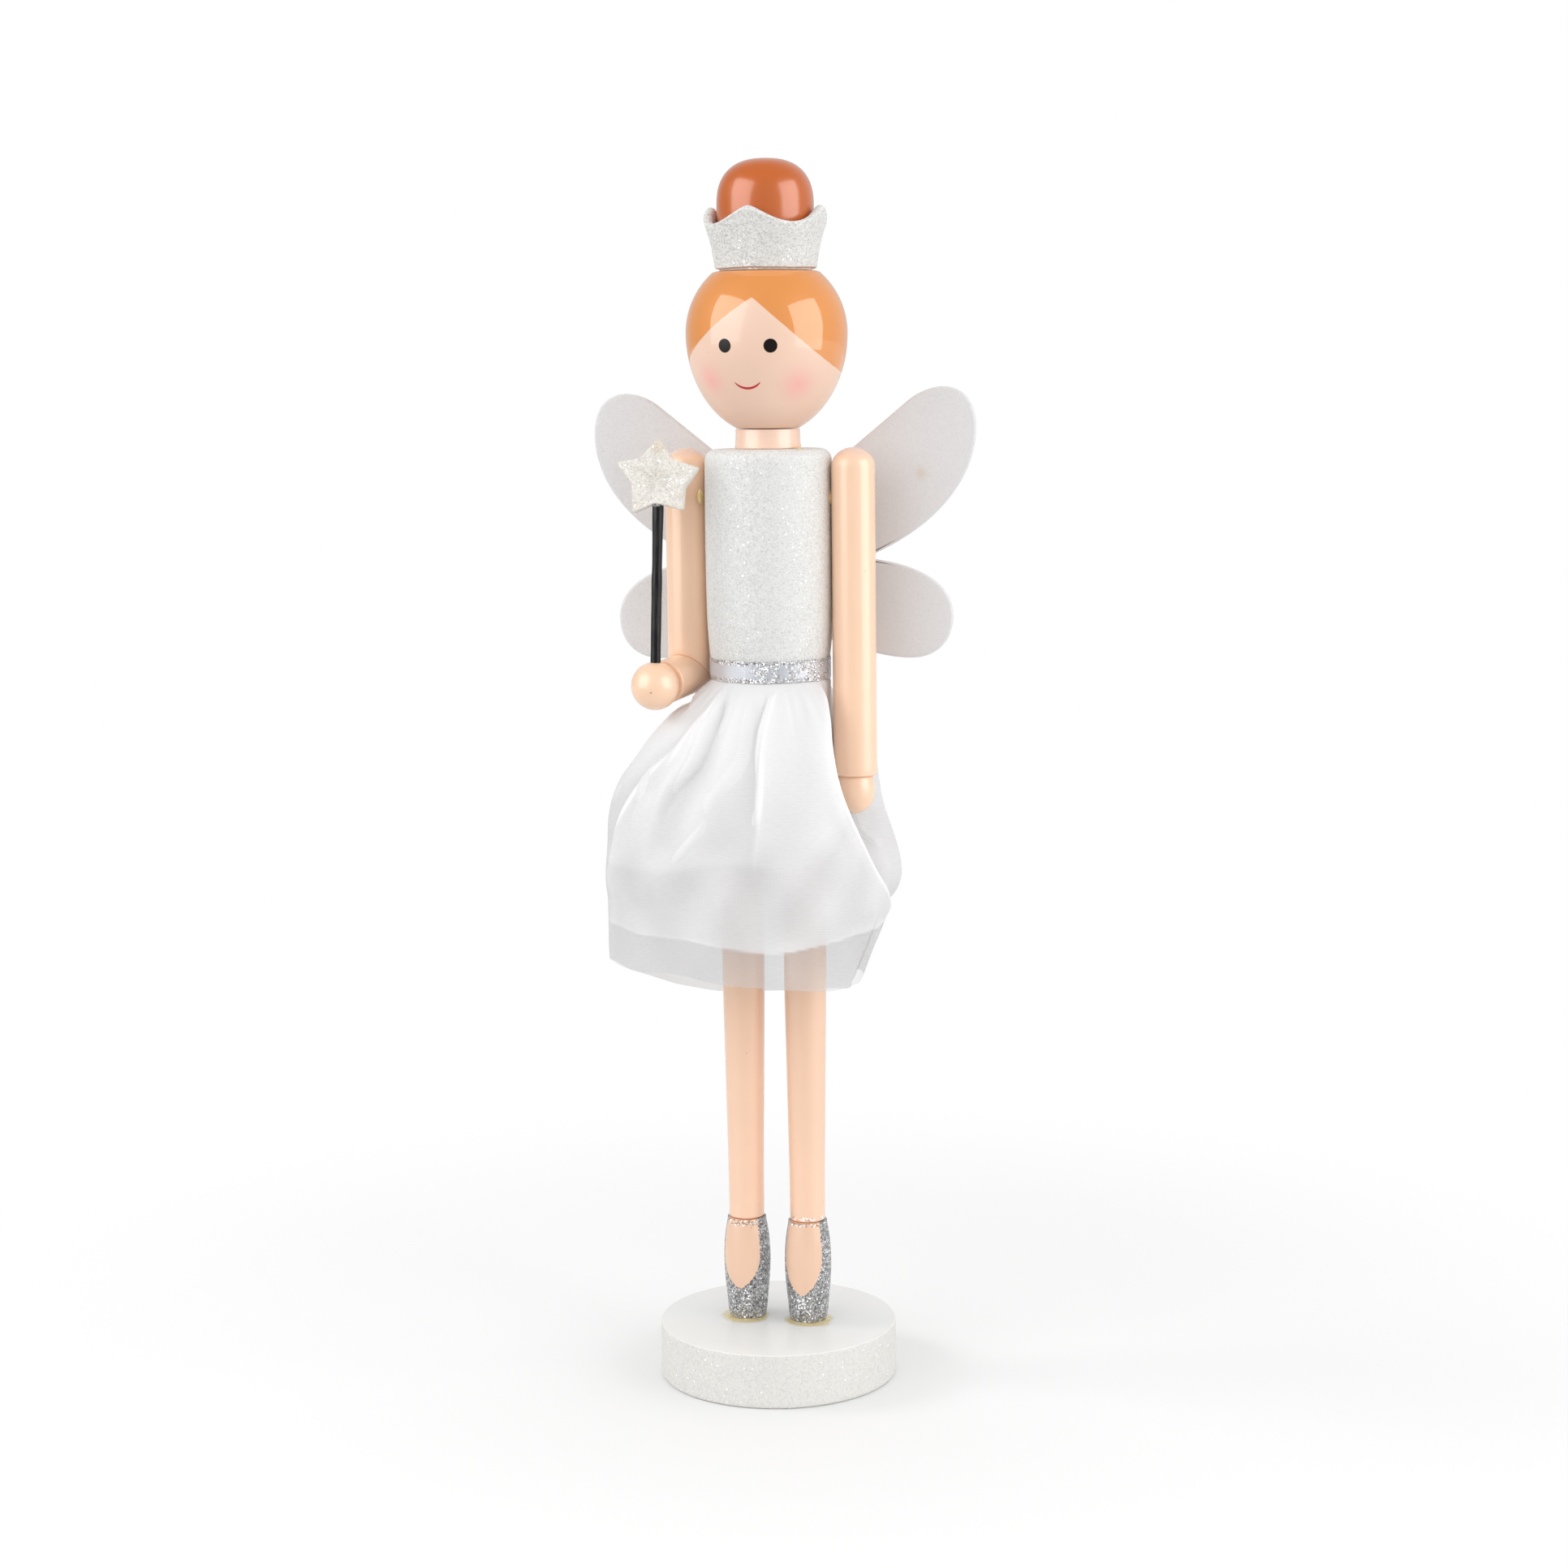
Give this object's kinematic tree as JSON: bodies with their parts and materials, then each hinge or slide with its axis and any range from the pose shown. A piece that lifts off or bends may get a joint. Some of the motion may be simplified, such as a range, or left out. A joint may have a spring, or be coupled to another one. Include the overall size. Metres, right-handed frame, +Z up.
{
  "type": "wooden fairy figurine",
  "caption": "Turned and painted wooden fairy standing on point on a round base, with glitter wings and crown, a star wand and a layered organza skirt.",
  "frame": {"origin": "centre of the base's underside", "axes": "+Z up, -Y the way the figure faces, +X the figure's left"},
  "size_m": [0.1144, 0.089, 0.3548],
  "materials": {
    "skin_paint": "smooth gloss flesh paint on turned wood",
    "head_paint": "gloss flesh paint with an orange painted hair cap on turned wood",
    "bun_paint": "high gloss brown paint on turned wood",
    "white_glitter": "fine white glitter over white paint on wood",
    "silver_glitter": "coarse silver glitter slipper over flesh paint on turned wood",
    "bare_wood": "unpainted dowel, hidden in its holes",
    "black_paint": "satin black paint on a wood stick",
    "wing_sheet": "fine grey-white glitter on thin board",
    "metallic_ribbon": "woven metallic silver ribbon with sparkling edges",
    "organza": "sheer white organza with a satin sheen",
    "dried_glue": "clear yellowish dried glue squeezed out of the joints"
  },
  "bodies": {
    "root": {"leg_left": "skin_paint", "leg_right": "skin_paint", "neck": "skin_paint", "arm_left": "skin_paint", "hand_left": "skin_paint", "upper_arm_right": "skin_paint", "forearm_right": "skin_paint", "hand_right": "skin_paint", "head": "head_paint", "hair_bun": "bun_paint", "base_disc": "white_glitter", "torso": "white_glitter", "crown": "white_glitter", "wand_star": "white_glitter", "foot_left": "silver_glitter", "foot_right": "silver_glitter", "leg_dowel_left": "bare_wood", "leg_dowel_right": "bare_wood", "shoulder_pin_left": "bare_wood", "shoulder_pin_right": "bare_wood", "wand_stick": "black_paint", "wing_panel": "wing_sheet", "waist_ribbon": "metallic_ribbon", "skirt_outer_layer": "organza", "skirt_middle_layer": "organza", "skirt_lining": "organza"}
  },
  "joints": []
}
